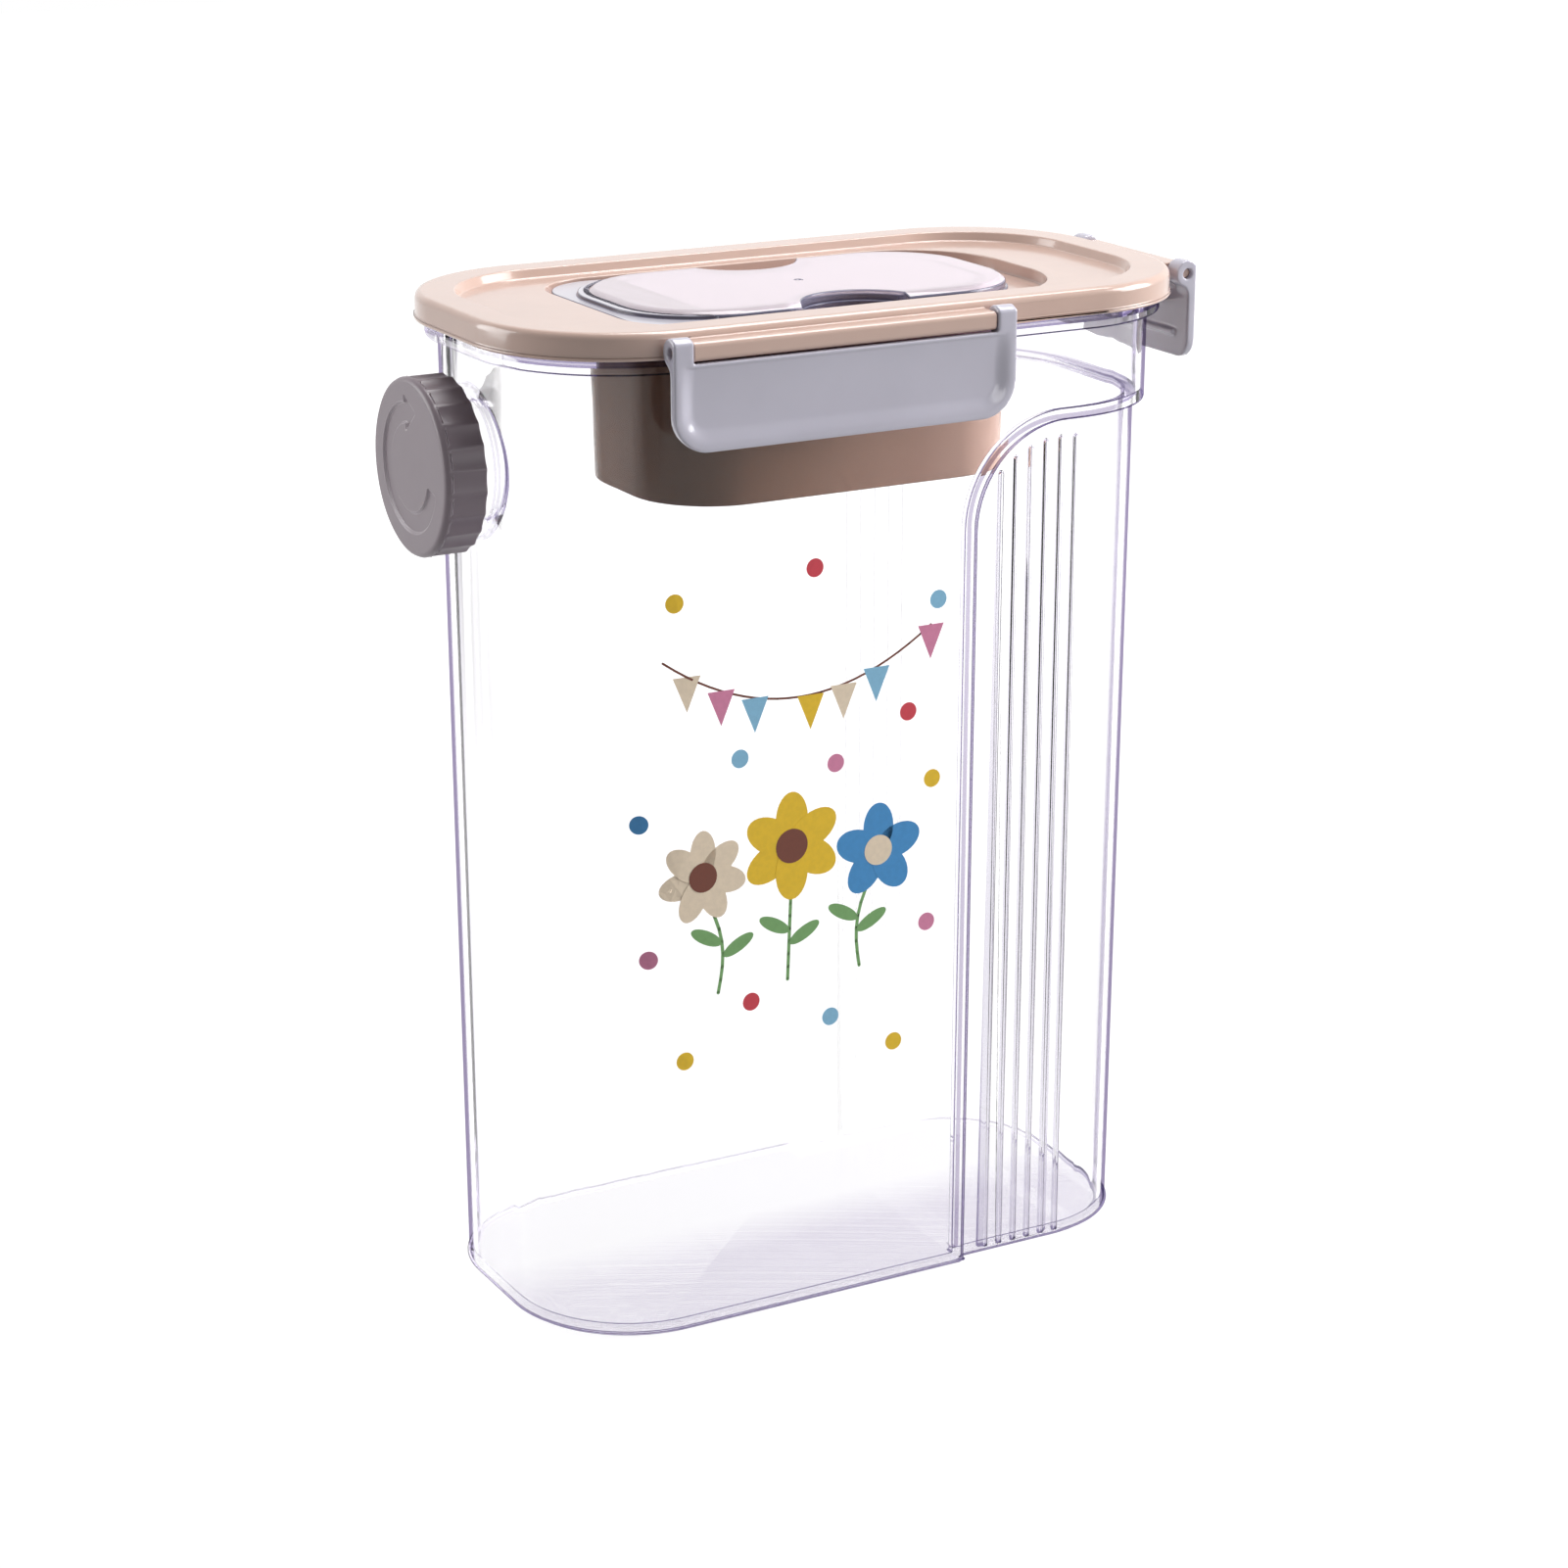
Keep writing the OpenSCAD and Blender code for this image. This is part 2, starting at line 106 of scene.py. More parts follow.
# Width of the rounding of each node's edges, and the sharpness from which an edge is rounded
EDGE_WIDTHS = {"lid": 0.35, "tank": 0.5, "measuring_cup": 0.4, "cup_cover": 0.4, "cup_grip": 0.3,
               "spout_cap": 0.35}
SHARP = math.radians(38)
SAME_PLANE = math.radians(0.4)

# Optics
PLASTIC_IOR = 1.49
CLEAR_IOR = 1.13
CLEAR_COAT_IOR = 1.45
MOST_BOUNCES = 7

# Area lights: direction and distance from the aim, size, level and aim
TANK_MIDDLE = (0, 0, 0.15)
LIGHTS = {
    "left": ((-0.8, 0.6, 0.3), 1.3, (0.8, 0.9), 0.6, TANK_MIDDLE),
    "right": ((0.85, -0.35, 0.4), 1.4, (0.8, 0.9), 1.05, TANK_MIDDLE),
    "top": ((0.35, 0.15, 1), 1.3, (0.9, 0.6), 0.75, TANK_MIDDLE),
    "strip": ((0.06, -0.55, 0.1), 0.5, (0.16, 0.2), 0.12, (0.028, -0.055, 0.235)),
}
WORLD_LEVEL = 0.14


# ---- node helpers ----

class Graph:
    """A node tree, with short calls for adding and joining nodes."""

    def __init__(self, tree, output="OutputMaterial"):
        self.tree = tree
        self.tree.nodes.clear()
        self.output = self.add(output)

    @classmethod
    def of_material(cls, name):
        material = bpy.data.materials.new(name)
        material.use_nodes = True
        graph = cls(material.node_tree)
        graph.material = material
        return graph

    def add(self, kind, **settings):
        """Adds a node. Settings are values of its inputs, or else its own properties."""
        node = self.tree.nodes.new("ShaderNode" + kind)
        for key, value in settings.items():
            if key in node.inputs:
                node.inputs[key].default_value = value
            else:
                setattr(node, key, value)
        return node

    def join(self, source, target):
        """Links an output to an input, or sets the input to a number."""
        if isinstance(source, (int, float)):
            target.default_value = source
        else:
            self.tree.links.new(source, target)

    def show(self, surface):
        self.join(surface, self.output.inputs["Surface"])

    def math(self, operation, first, second=0.0):
        node = self.add("Math", operation=operation)
        self.join(first, node.inputs[0])
        self.join(second, node.inputs[1])
        return node.outputs[0]

    def times(self, first, second):
        return self.math("MULTIPLY", first, second)

    def most(self, first, second):
        return self.math("MAXIMUM", first, second)

    def others(self, mask):
        """1 where a mask is 0, and 0 where it is 1."""
        return self.math("SUBTRACT", 1, mask)

    def place(self):
        """X, Y and Z in object space."""
        node = self.add("SeparateXYZ")
        self.join(self.add("TexCoord").outputs["Object"], node.inputs["Vector"])
        return node.outputs

    def step(self, value, start, end):
        """0 to 1 as a place in metres goes from start to end, in millimetres."""
        return self.fade(value, start * MM, end * MM)

    def fade(self, value, start, end, low=0.0, high=1.0):
        """low to high as a value goes from start to end."""
        limits = {"From Min": start, "From Max": end, "To Min": low, "To Max": high}
        node = self.add("MapRange", **limits)
        self.join(value, node.inputs["Value"])
        return node.outputs["Result"]

    def near(self, value, centre, half):
        """1 within half a line's width of its centre, falling to 0 a little further out."""
        off = self.math("ABSOLUTE", self.math("SUBTRACT", value, centre * MM))
        return self.step(off, half * 1.5, half)

    def ramp(self, factor, stops):
        """Colour ramp from (position, colour) stops."""
        node = self.add("ValToRGB")
        elements = node.color_ramp.elements
        while len(elements) < len(stops):
            elements.new(0.5)
        for element, (position, colour) in zip(elements, stops):
            element.position = position
            element.color = (*colour, 1)
        self.join(factor, node.inputs["Fac"])
        return node.outputs["Color"]

    def noise(self, scale, detail):
        """Noise in object space; scale is in cycles per metre."""
        node = self.add("TexNoise", Scale=scale, Detail=detail, Roughness=0.5)
        self.join(self.add("TexCoord").outputs["Object"], node.inputs["Vector"])
        return node.outputs["Fac"]

    def uneven(self, value, share, scale):
        """A value that varies by a share of itself over the surface."""
        return self.fade(self.noise(scale, 2), 0, 1, value * (1 - share), value * (1 + share))

    def bump(self, height, strength, distance):
        node = self.add("Bump", Strength=strength, Distance=distance)
        self.join(height, node.inputs["Height"])
        return node.outputs["Normal"]

    def mix(self, share, first, second):
        """Mix of two shaders; share is the second one's."""
        node = self.add("MixShader")
        for source, socket in zip((share, first, second), node.inputs):
            self.join(source, socket)
        return node.outputs["Shader"]

    def window(self, colour=(1, 1, 1)):
        """Shader that shows what lies behind, tinted."""
        return self.add("BsdfTransparent", Color=(*colour, 1)).outputs["BSDF"]


def srgb(red, green, blue):
    """Linear colour from 0-255 display values."""
    def linear(value):
        c = value / 255
        return c / 12.92 if c <= 0.04045 else ((c + 0.055) / 1.055) ** 2.4
    return tuple(linear(v) for v in (red, green, blue))


def scaled(colour, factor):
    return tuple(min(1, c * factor) for c in colour)


# ---- materials ----

def moulded_plastic(name, colour, roughness, coat=0.0, painted_well_shade_stops=None):
    """Opaque moulded plastic: faint colour drift, a fine skin texture and slightly uneven gloss. The
    last argument paints shade into the well under the lid, as shares of the colour along X, darkest at
    the left."""
    g = Graph.of_material(name)
    shader = g.add("BsdfPrincipled", IOR=PLASTIC_IOR)
    if coat:
        shader.inputs["Coat Weight"].default_value = coat
        shader.inputs["Coat Roughness"].default_value = 0.08
    shader.inputs["Subsurface Weight"].default_value = 0.04
    shader.inputs["Subsurface Radius"].default_value = (0.003, 0.002, 0.0015)
    base = g.ramp(g.noise(45, 3), [(0.3, scaled(colour, 0.97)), (0.7, scaled(colour, 1.03))])
    if painted_well_shade_stops:
        base = paint_well_shade(g, shader, base, painted_well_shade_stops)
    g.join(base, shader.inputs["Base Color"])
    g.join(g.uneven(roughness, 0.12, 220), shader.inputs["Roughness"])
    g.join(g.bump(g.noise(2600, 2), 0.15, 0.00003), shader.inputs["Normal"])
    g.show(shader.outputs["BSDF"])
    return g.material


def paint_well_shade(g, shader, colour, stops):
    """Painted shade in the well under the lid: its colour multiplied by shares that change along X,
    darkest at the left; stops start with X in millimetres. The gloss is lower there too."""
    place = g.place()
    first, last = stops[0][0], stops[-1][0]
    shares = g.ramp(g.step(place["X"], first, last),
                    [((x - first) / (last - first), share) for x, share in stops])
    below = g.step(place["Z"], WELL_TOP + 0.1, WELL_TOP - 0.1)
    gloss = g.fade(below, 0, 1, 0.5, 0.08)
    g.join(gloss, shader.inputs["Specular IOR Level"])
    g.join(gloss, shader.inputs["Coat Weight"])
    mix = g.add("Mix", data_type="RGBA", blend_type="MULTIPLY")
    colour_a, colour_b, colour_result = 6, 7, 2
    g.join(below, mix.inputs["Factor"])
    g.join(colour, mix.inputs[colour_a])
    g.join(shares, mix.inputs[colour_b])
    return mix.outputs[colour_result]


def let_light_through(g, surface, tint):
    """Shows a clear surface. Shadows pass through it, and so do rays with many bounces behind them, so
    that no wall edge turns black."""
    path = g.add("LightPath")
    late = g.math("GREATER_THAN", path.outputs["Ray Depth"], MOST_BOUNCES)
    surface = g.mix(late, surface, g.window())
    g.show(g.mix(path.outputs["Is Shadow Ray"], surface, g.window(tint)))


def clear_shader(g, body, rim, start=0.5, coat=1.0):
    """Clear moulding that gets a tint where it is seen edge-on."""
    shader = g.add("BsdfPrincipled", IOR=CLEAR_IOR)
    shader.inputs["Transmission Weight"].default_value = 1.0
    shader.inputs["Coat Weight"].default_value = coat
    shader.inputs["Coat IOR"].default_value = CLEAR_COAT_IOR
    shader.inputs["Coat Roughness"].default_value = 0.02
    facing = g.add("LayerWeight", Blend=0.5).outputs["Facing"]
    tint = g.ramp(facing, [(0.0, body), (start, body), (0.93, rim), (1.0, rim)])
    g.join(tint, shader.inputs["Base Color"])
    g.join(g.uneven(0.01, 0.3, 60), shader.inputs["Roughness"])
    ripple = g.bump(g.noise(14, 1), 0.15, 0.00006)
    g.join(ripple, shader.inputs["Normal"])
    g.join(ripple, shader.inputs["Coat Normal"])
    return shader.outputs["BSDF"]


def step_distance(g, place):
    """Distance outwards from the grip's curved step, in side view."""
    left = g.math("MINIMUM", g.math("SUBTRACT", place["X"], (GRIP_X + GRIP_CORNER) * MM), 0)
    up = g.most(g.math("SUBTRACT", place["Z"], (GRIP_Z - GRIP_CORNER) * MM), 0)
    reach = g.math("SQRT", g.math("ADD", g.times(left, left), g.times(up, up)))
    return g.math("SUBTRACT", reach, GRIP_CORNER * MM)


def finish_tank(g, place, surface, tint):
    """Keeps the grip's far side and the neck faint, then shows the surface."""
    step = g.times(g.near(step_distance(g, place), 0, 4), 0.95)
    ribs = g.times(g.near(place["X"], RIBS_MIDDLE, RIBS_HALF), 0.75)
    first_rib = g.times(g.near(place["X"], FIRST_RIB, 1.8), 0.97)
    far = g.times(g.step(place["Y"], 34, 36), g.most(step, g.most(ribs, first_rib)))
    neck = g.times(g.step(place["X"], -86.8, -87.3), 0.6)
    let_light_through(g, g.mix(g.most(far, neck), surface, g.window()), tint)


def clear_tank():
    """Wall of the tank: almost unseen from the front, with a painted lavender-grey shade line where it
    turns away, along the near side of the grip's step and round the near side of the base, in place of
    refraction's dark lines."""
    g = Graph.of_material("clear_tank")
    place = g.place()
    clear = clear_shader(g, (0.995, 0.993, 0.997), srgb(232, 228, 238), coat=0.25)
    facing = g.add("LayerWeight", Blend=0.5).outputs["Facing"]
    middle = g.step(g.math("ABSOLUTE", place["X"]), 58, 52)
    far_wall = g.times(g.step(place["Y"], 30, 32), middle)
    # painted shade lines: a tinted see-through mix where the wall turns away, at the grip's step and at
    # the base
    turned = g.times(g.fade(facing, 0.73, 0.8), g.others(far_wall))
    grip = g.times(g.near(step_distance(g, place), 0, 0.5), g.step(place["Y"], -34, -36))
    base = g.times(g.step(place["Z"], 1.6, 1.2), g.step(place["Y"], 10, -10))
    share = g.most(turned, g.most(grip, g.times(base, 0.7)))
    surface = g.mix(share, clear, g.window(srgb(196, 189, 208)))
    finish_tank(g, place, surface, (0.965, 0.96, 0.975))
    return g.material


def clear_tank_painted_edge_shade():
    """Edges of the tank's moulding, with painted lavender-grey shade in place of refraction's dark
    lines, stronger at the front. Those at the back and along the grip's ribs are finer and fainter."""
    g = Graph.of_material("clear_tank_painted_edge_shade")
    place = g.place()
    clear = clear_shader(g, srgb(240, 237, 244), srgb(206, 200, 216))
    # painted shade along the edges, strongest towards the front
    front = g.math("ADD", g.times(g.step(place["Y"], 20, -20), 0.85), 0.08)
    rib = g.times(g.step(place["X"], 30.5, 31), g.step(place["Z"], 3.2, 3.8))
    rib = g.times(rib, g.step(place["Z"], 215.5, 214.5))
    share = g.times(front, g.others(g.times(rib, 0.7)))
    surface = g.mix(share, clear, g.window(srgb(152, 143, 176)))
    finish_tank(g, place, surface, (0.93, 0.92, 0.95))
    return g.material


def milky_cup_painted_side_shade(name, top, side, share):
    """Pale milky moulding with painted shade: its upright faces get a darker colour than its flat ones.
    """
    g = Graph.of_material(name)
    body = clear_shader(g, (0.95, 0.93, 0.95), srgb(150, 146, 166), 0.6)
    normal = g.add("SeparateXYZ")
    g.join(g.add("NewGeometry").outputs["Normal"], normal.inputs["Vector"])
    milk = g.add("BsdfPrincipled", Roughness=0.2, IOR=PLASTIC_IOR)
    # painted shade: the colour darkens from flat faces to upright ones
    g.join(g.ramp(normal.outputs["Z"], [(0.3, side), (0.8, top)]), milk.inputs["Base Color"])
    g.join(g.bump(g.noise(30, 2), 0.1, 0.0001), milk.inputs["Normal"])
    let_light_through(g, g.mix(share, body, milk.outputs["BSDF"]), (0.9, 0.89, 0.92))
    return g.material


def ink(name, colour):
    """Screen-printed ink: even colour with a faint mesh grain, slightly glossy."""
    g = Graph.of_material("ink_" + name)
    shader = g.add("BsdfPrincipled", Roughness=0.35, IOR=PLASTIC_IOR)
    g.join(g.ramp(g.noise(900, 2), [(0.35, scaled(colour, 0.94)), (0.65, colour)]),
           shader.inputs["Base Color"])
    g.join(g.bump(g.noise(4000, 1), 0.2, 0.00002), shader.inputs["Normal"])
    g.show(shader.outputs["BSDF"])
    return g.material


# Painted shade of the well under the lid: shares of the lid's colour along X, darkest at the left
WELL_PAINTED_SHADE = [(-50, (0.14, 0.1, 0.075)), (-38, (0.19, 0.145, 0.115)), (-20, (0.33, 0.265, 0.22)),
              (15, (0.52, 0.45, 0.41)), (46, (0.82, 0.79, 0.77))]

MATERIALS = {
    "clear_tank": clear_tank(),
    # the milky mouldings' second colour is painted shade on their upright faces
    "cup_clear": milky_cup_painted_side_shade("cup_clear", srgb(232, 216, 224), srgb(120, 118, 140), 0.6),
    "lid_beige": moulded_plastic("lid_beige", srgb(206, 175, 161), 0.2, 0.3, WELL_PAINTED_SHADE),
    "latch_lavender": moulded_plastic("latch_lavender", srgb(196, 193, 207), 0.18, 0.4),
    "cap_mauve": moulded_plastic("cap_mauve", srgb(130, 117, 125), 0.36),
    "grip_milky": milky_cup_painted_side_shade("grip_milky", srgb(206, 203, 212), srgb(70, 66, 84), 0.9),
    "seal_silicone": moulded_plastic("seal_silicone", srgb(232, 230, 228), 0.5),
}

# Nodes with their own version of their slot's finish: the measuring cup is clearer than its cover, and
# darker with painted shade from the well it sits in
PAINTED_SHADE_BODIES = {
    "measuring_cup": milky_cup_painted_side_shade("cup_clear_painted_shade", srgb(170, 160, 172), srgb(110, 104, 122), 0.18),
}

# Finish of the rounded edges, where it differs: painted shade lines along the clear and milky edges, and
# a painted highlight along the cap's edges
EDGE_PAINTED_SHADE_AND_HIGHLIGHT = {
    "tank": clear_tank_painted_edge_shade(),
    "measuring_cup": milky_cup_painted_side_shade("cup_clear_painted_edge_shade", srgb(110, 108, 130), srgb(80, 80, 104), 0.8),
    "cup_grip": milky_cup_painted_side_shade("grip_milky_painted_edge_shade", srgb(120, 116, 134), srgb(70, 68, 90), 0.9),
    "spout_cap": moulded_plastic("cap_mauve_painted_edge_highlight", srgb(168, 156, 164), 0.3),
}
EDGE_PAINTED_SHADE_AND_HIGHLIGHT["cup_cover"] = EDGE_PAINTED_SHADE_AND_HIGHLIGHT["measuring_cup"]
EDGE_SLOT = 1

INKS = {
    "cream": ink("cream", srgb(243, 224, 198)),
    "brown": ink("brown", srgb(112, 52, 32)),
    "yellow": ink("yellow", srgb(243, 200, 40)),
    "blue": ink("blue", srgb(64, 146, 208)),
    "sky": ink("sky", srgb(140, 196, 228)),
    "pink": ink("pink", srgb(222, 136, 172)),
    "red": ink("red", srgb(214, 62, 78)),
    "green": ink("green", srgb(122, 172, 106)),
}


def paint_nodes():
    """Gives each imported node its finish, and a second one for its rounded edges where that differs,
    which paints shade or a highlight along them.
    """
    for part in frame["record"]["subparts"]:
        name = part["node"]
        slots = NODES[name].data.materials
        slots.clear()
        slots.append(PAINTED_SHADE_BODIES.get(name, MATERIALS[part["material_slot"]]))
        if name in EDGE_PAINTED_SHADE_AND_HIGHLIGHT:
            slots.append(EDGE_PAINTED_SHADE_AND_HIGHLIGHT[name])


# ---- softened edges ----

def soften(name, width):
    """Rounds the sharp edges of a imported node, as a mould leaves them."""
    modifiers = NODES[name].modifiers
    weld = modifiers.new("weld", "WELD")
    weld.merge_threshold = 0.002 * MM
    flat = modifiers.new("flat", "DECIMATE")
    flat.decimate_type = "DISSOLVE"
    flat.angle_limit = SAME_PLANE
    edges = modifiers.new("edges", "BEVEL")
    edges.width = width * MM
    edges.segments = 2
    edges.limit_method = "ANGLE"
    edges.angle_limit = SHARP
    edges.use_clamp_overlap = False
    edges.miter_outer = "MITER_ARC"
    # rounded edges of these nodes get their painted edge shade or highlight
    if name in EDGE_PAINTED_SHADE_AND_HIGHLIGHT:
        edges.material = EDGE_SLOT
    normals = modifiers.new("normals", "WEIGHTED_NORMAL")
    normals.keep_sharp = False


def skin(name, voxel, passes):
    """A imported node's shape as one even, smoothed mesh."""
    node = NODES[name]
    even = node.modifiers.new("even", "REMESH")
    even.mode = "VOXEL"
    even.voxel_size = voxel * MM
    smooth = node.modifiers.new("smooth", "SMOOTH")
    smooth.factor = 0.5
    smooth.iterations = passes
    mesh = bpy.data.meshes.new_from_object(node.evaluated_get(bpy.context.evaluated_depsgraph_get()))
    node.modifiers.clear()
    return mesh


def vertex_values(mesh, name):
    """One vector of each vertex, as rows."""
    values = np.empty(len(mesh.vertices) * 3)
    mesh.vertices.foreach_get(name, values)
    return values.reshape(-1, 3)


def latch_shell(name):
    """A latch with rounded edges and a dished face. Its outside is to the right of its length."""
    joint_name, along, low_edge, corner_r = LATCHES[name]
    joint = next(j for j in frame["joints"] if j["name"] == joint_name)
    mesh = skin(name, LATCH_VOXEL, LATCH_SMOOTHING)
    points = vertex_values(mesh, "co")
    normals = vertex_values(mesh, "normal")

    out = np.array(Vector(along).cross(Vector((0, 0, 1))))
    local = (points - np.array(joint["pos_m"])) / MM
    length_at = local @ np.array(along)
    out_at = local @ out
    height_at = local[:, 2]
    half = np.abs(length_at).max()

    # distance from the face's outline, along its rounded lower corners too
    from_side = half - np.abs(length_at)
    from_low = height_at - low_edge
    inside = np.minimum(from_side, from_low)
    corner = (from_side < corner_r) & (from_low < corner_r)
    inside[corner] = corner_r - np.hypot(corner_r - from_side, corner_r - from_low)[corner]

    # the dish is deepest half way down, and fades into a border
    middle = (LATCH_TOP + low_edge) / 2
    reach = (LATCH_TOP - low_edge) / 2 + 1.5
    rise = np.clip((inside - DISH_BORDER) / DISH_FILLET, 0, 1)
    rise = rise * rise * (3 - 2 * rise)
    bowl = 1 - np.clip(np.abs(height_at - middle) / reach, 0, 1) ** 2
    face = LATCH_FACE - DISH_DEPTH * rise * bowl
    front = (out_at > LATCH_FACE - 1.4) & (inside > 1.0) & (height_at < LATCH_TOP - 0.7)
    front &= (normals @ out > 0.1)
    points[front] += np.outer((face - out_at)[front] * MM, out)
    mesh.vertices.foreach_set("co", points.ravel())
    mesh.polygons.foreach_set("use_smooth", [True] * len(mesh.polygons))
    mesh.update()

    mesh.materials.clear()
    shell = add_object(name + "_shell", mesh, MATERIALS[LATCH_SLOT])
    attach(shell, name)
    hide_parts(name)


def add_object(name, data, material=None):
    """Links a new object with its data, and the data's material."""
    obj = bpy.data.objects.new(name, data)
    bpy.context.scene.collection.objects.link(obj)
    if material:
        data.materials.append(material)
    return obj


# ---- printed decoration ----

def wall_point(along, height, out):
    """Point in front of the tank's front wall, from millimetres. along is measured round the wall from
    its middle."""
    grow = TANK_DRAFT * height / TANK_HEIGHT
    flat = TANK_HALF_LENGTH - TANK_CORNER
    radius = TANK_CORNER + grow + out
    beyond = max(0.0, abs(along) - flat)
    turn = beyond / (TANK_CORNER + grow)
    x = math.copysign(min(abs(along), flat) + radius * math.sin(turn), along)
    y = -(TANK_HALF_DEPTH - TANK_CORNER + radius * math.cos(turn))
    return Vector((x, y, height)) * MM


class Print:
    """Flat inked shapes on the front wall, gathered by colour."""

    FILM = 0.04
    CLEAR_OF_WALL = 0.03

    def __init__(self):
        self.meshes = {}

    def shape(self, colour, outline, layer=0):
        """Adds one inked shape from its outline of (along, height) points, anticlockwise."""
        bm = self.meshes.setdefault(colour, bmesh.new())
        low = self.CLEAR_OF_WALL + self.FILM * layer
        high = low + self.FILM
        back = [bm.verts.new(wall_point(a, h, low)) for a, h in outline]
        front = [bm.verts.new(wall_point(a, h, high)) for a, h in outline]
        bm.faces.new(front)
        bm.faces.new(list(reversed(back)))
        for i in range(len(outline)):
            j = (i + 1) % len(outline)
            bm.faces.new((back[i], back[j], front[j], front[i]))

    def oval(self, colour, centre, half_wide, half_high, turn=0.0, layer=0, points=28):
        """An ellipse, turned anticlockwise."""
        outline = []
        for i in range(points):
            t = 2 * math.pi * i / points
            x, z = half_wide * math.cos(t), half_high * math.sin(t)
            outline.append((centre[0] + x * math.cos(turn) - z * math.sin(turn),
                            centre[1] + x * math.sin(turn) + z * math.cos(turn)))
        self.shape(colour, outline, layer)

    def line(self, colour, path, width):
        """A drawn line of even width with round ends."""
        half = width / 2
        for (x0, z0), (x1, z1) in zip(path, path[1:]):
            length = math.hypot(x1 - x0, z1 - z0)
            nx, nz = -(z1 - z0) / length * half, (x1 - x0) / length * half
            self.shape(colour, [(x0 - nx, z0 - nz), (x1 - nx, z1 - nz), (x1 + nx, z1 + nz),
                                (x0 + nx, z0 + nz)])
        for point in path:
            self.oval(colour, point, half, half, points=12)

    def finish(self):
        """Makes one object of each colour, on the tank."""
        for colour, bm in self.meshes.items():
            mesh = bpy.data.meshes.new("print_" + colour)
            bm.to_mesh(mesh)
            bm.free()
            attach(add_object("print_" + colour, mesh, INKS[colour]), "tank")


def flower(art, centre, petals, petal_long, petal_wide, colour, eye):
    """Ovals that point away from a round eye, alternately one layer higher."""
    reach = petal_long * 0.95
    for i in range(petals):
        angle = math.pi / 2 + 2 * math.pi * i / petals
        place = (centre[0] + reach * math.cos(angle), centre[1] + reach * math.sin(angle))
        art.oval(colour, place, petal_long, petal_wide, angle, 1 + i % 2)
    art.oval(eye, centre, petal_long * 0.62, petal_long * 0.62, layer=3)


def hanging(x0, x1, z, sag, count):
    """Points of a hanging curve between two points of one height."""
    return [(x0 + (x1 - x0) * i / (count - 1), z - sag * (1 - (2 * i / (count - 1) - 1) ** 2))
            for i in range(count)]


def decoration():
    """String of pennants, three flowers and confetti."""
    art = Print()
    string = hanging(-60, 12, 172, 13, 25)
    art.line("brown", string, 0.55)
    for i, colour in enumerate(("cream", "pink", "sky", "yellow", "cream", "sky", "pink")):
        x, z = string[2 + i * 20 // 6 + (i // 3)]
        art.shape(colour, [(x - 3.6, z), (x, z - 8.6), (x + 3.6, z)], 1)
    # stems and leaves
    for foot, top, bend in ((-46, -50, 3), (-27, -26, 0), (-7, -2, -3)):
        stem = [(foot + (top - foot) * t + bend * math.sin(math.pi * t), 88 + 26 * t)
                for t in [i / 8 for i in range(9)]]
        art.line("green", stem, 0.9)
        for side in (-1, 1):
            x, z = stem[3 if side > 0 else 4]
            art.oval("green", (x + side * 4.2, z + 1.6), 4.6, 1.7, side * 0.5, 1)
    flower(art, (-50, 118), 7, 6.0, 3.4, "cream", "brown")
    flower(art, (-26, 122), 6, 7.0, 4.4, "yellow", "brown")
    flower(art, (-2, 117), 5, 6.2, 4.2, "blue", "cream")
    for colour, x, z in (("yellow", -57, 186), ("red", 6, 151), ("sky", -40, 146), ("pink", -14, 141),
                         ("yellow", 13, 133), ("blue", -66, 133), ("pink", -64, 99), ("red", -37, 84),
                         ("sky", -15, 76), ("yellow", -55, 72), ("pink", 12, 96), ("red", -20, 190),
                         ("sky", 14, 178), ("yellow", 3, 66)):
        art.oval(colour, (x, z), 2.3, 2.3)
    art.finish()


# ---- studio ----

def seen_rays(g):
    """1 for rays that show the surroundings: from the camera, mirrored or through clear parts, and not
    after a bounce off a matt surface."""
    path = g.add("LightPath").outputs
    seen = g.most(g.most(path["Is Camera Ray"], path["Is Glossy Ray"]), path["Is Transmission Ray"])
    return g.times(seen, g.math("LESS_THAN", path["Diffuse Depth"], 0.5))


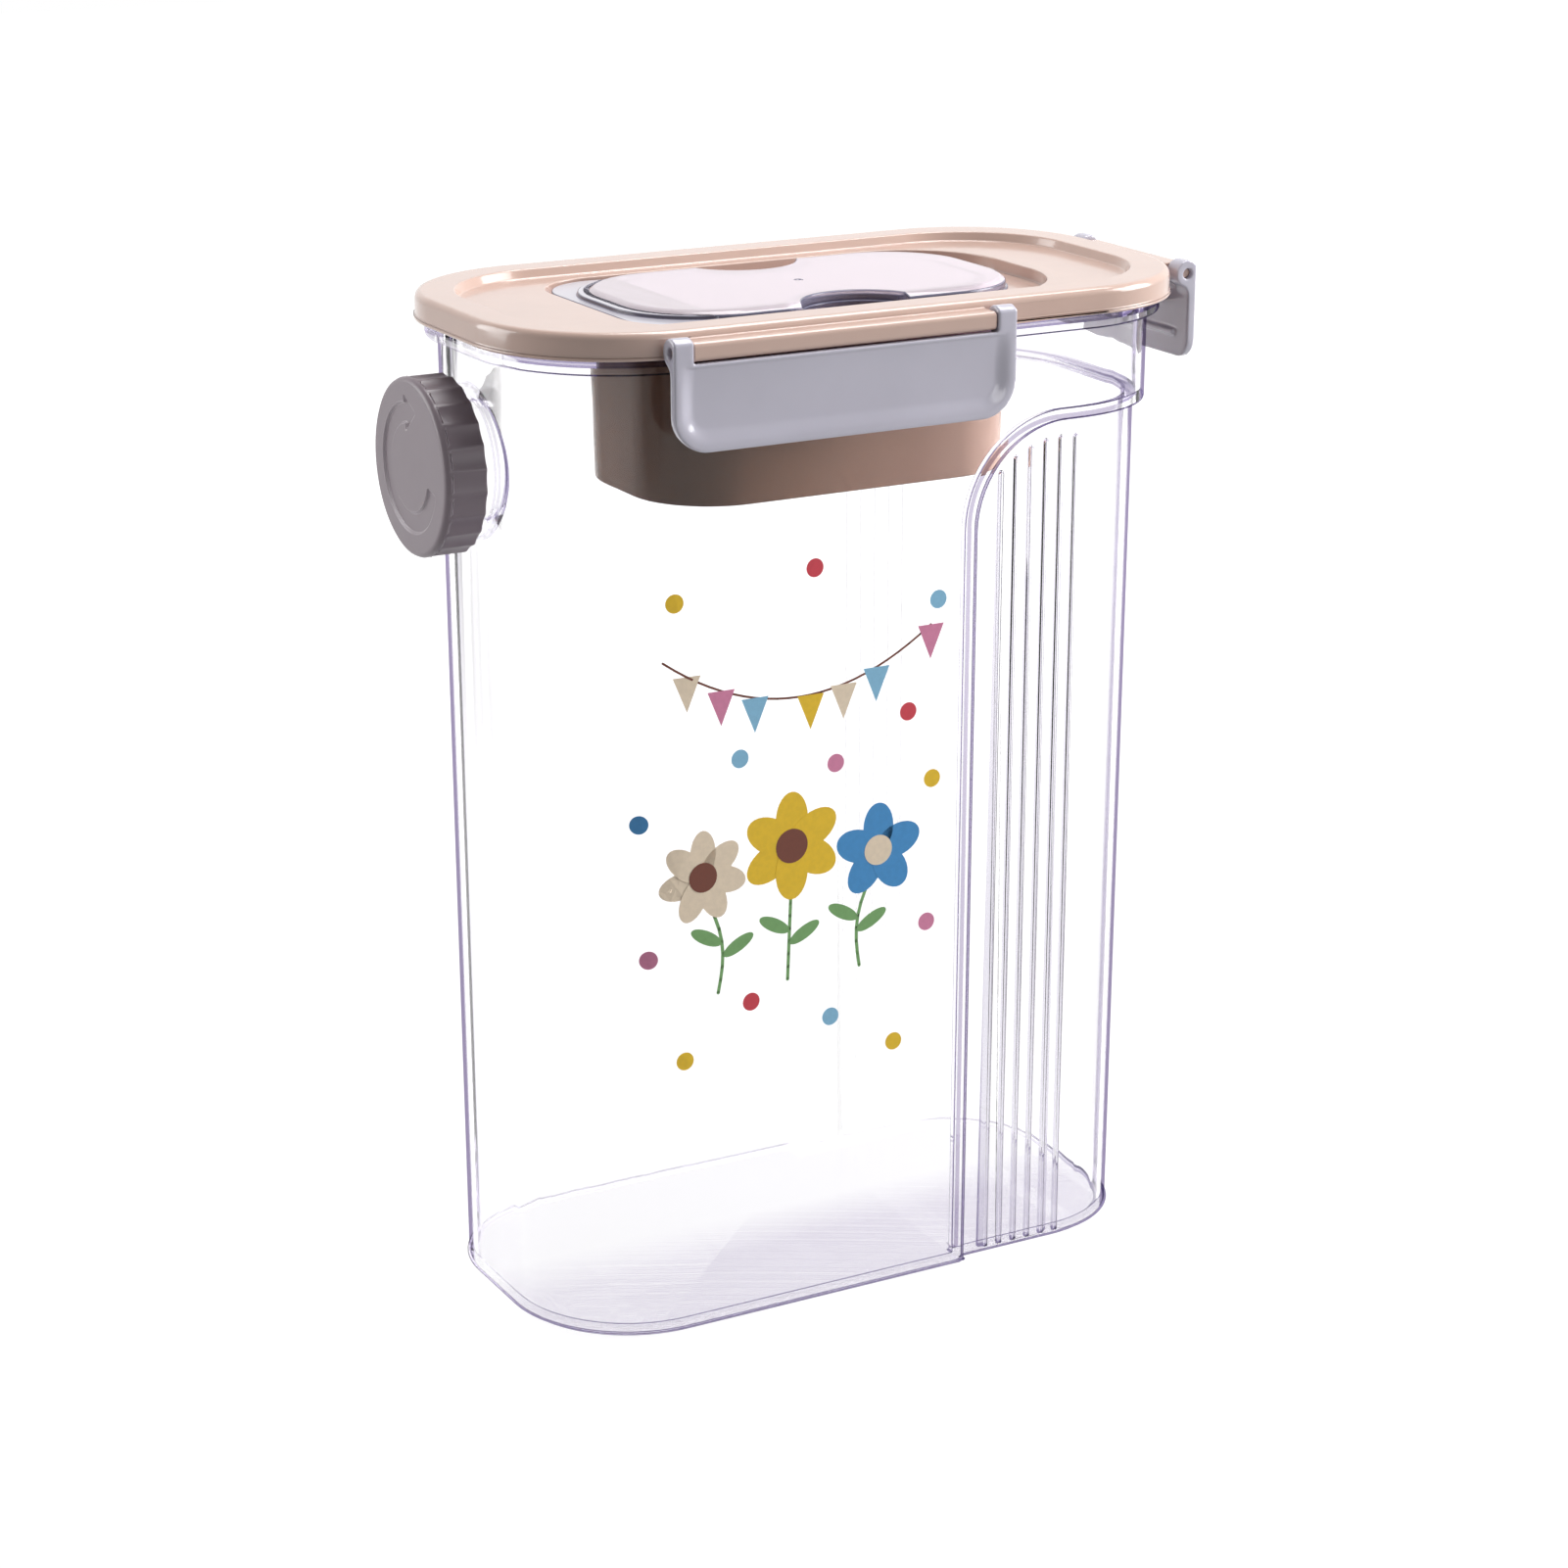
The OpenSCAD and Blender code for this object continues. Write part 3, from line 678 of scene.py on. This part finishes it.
def floor_material():
    """White table: seen as white with the object's shadow, and lit as a plain pale surface."""
    g = Graph.of_material("floor")
    lit = g.add("BsdfDiffuse", Color=(0.35, 0.35, 0.35, 1))
    pale = g.add("BsdfDiffuse", Color=(0.22, 0.22, 0.22, 1))
    glow = g.add("Emission", Color=(1, 1, 1, 1))
    distance = g.add("VectorMath", operation="LENGTH")
    g.join(g.add("TexCoord").outputs["Object"], distance.inputs[0])
    g.join(g.fade(distance.outputs["Value"], 0.25, 0.7, 0.82, 1.0), glow.inputs["Strength"])
    shown = g.add("AddShader")
    g.join(pale.outputs["BSDF"], shown.inputs[0])
    g.join(glow.outputs["Emission"], shown.inputs[1])
    g.show(g.mix(seen_rays(g), lit.outputs["BSDF"], shown.outputs["Shader"]))
    return g.material


def floor():
    half = 3.0
    mesh = bpy.data.meshes.new("floor")
    mesh.from_pydata([(-half, -half, 0), (half, -half, 0), (half, half, 0), (-half, half, 0)],
                     [], [(0, 1, 2, 3)])
    add_object("floor", mesh, floor_material())


def softbox(name, direction, distance, size, level, aim):
    """Area light whose light on a surface that faces it, at the aim, is level times full white."""
    offset = Vector(direction).normalized() * distance
    data = bpy.data.lights.new(name, "AREA")
    data.shape = "RECTANGLE"
    data.size, data.size_y = size
    data.energy = level * (math.pi * distance) ** 2
    obj = add_object(name, data)
    obj.location = Vector(aim) + offset
    obj.rotation_euler = offset.to_track_quat("Z", "Y").to_euler()


def world():
    """White where it is seen, and a soft fill light otherwise."""
    studio = bpy.data.worlds.new("studio")
    bpy.context.scene.world = studio
    studio.use_nodes = True
    g = Graph(studio.node_tree, "OutputWorld")
    soft = g.add("Background", Color=(0.97, 0.97, 1, 1), Strength=WORLD_LEVEL)
    white = g.add("Background", Color=(1, 1, 1, 1), Strength=1.0)
    g.show(g.mix(seen_rays(g), soft.outputs[0], white.outputs[0]))


def camera():
    data = bpy.data.cameras.new("camera")
    data.sensor_width = SENSOR
    data.lens = FOCAL_PIXELS * SENSOR / IMAGE_SIDE
    obj = add_object("camera", data)
    obj.location = CAMERA_AT
    obj.rotation_euler = (math.radians(90) - CAMERA_PITCH, 0, -CAMERA_YAW)
    bpy.context.scene.camera = obj


camera()
paint_nodes()
for latch in LATCHES:
    latch_shell(latch)
for rounded, edge_width in EDGE_WIDTHS.items():
    soften(rounded, edge_width)
decoration()
floor()
world()
for light, setting in LIGHTS.items():
    softbox(light, *setting)
bpy.context.scene.view_settings.view_transform = "Standard"
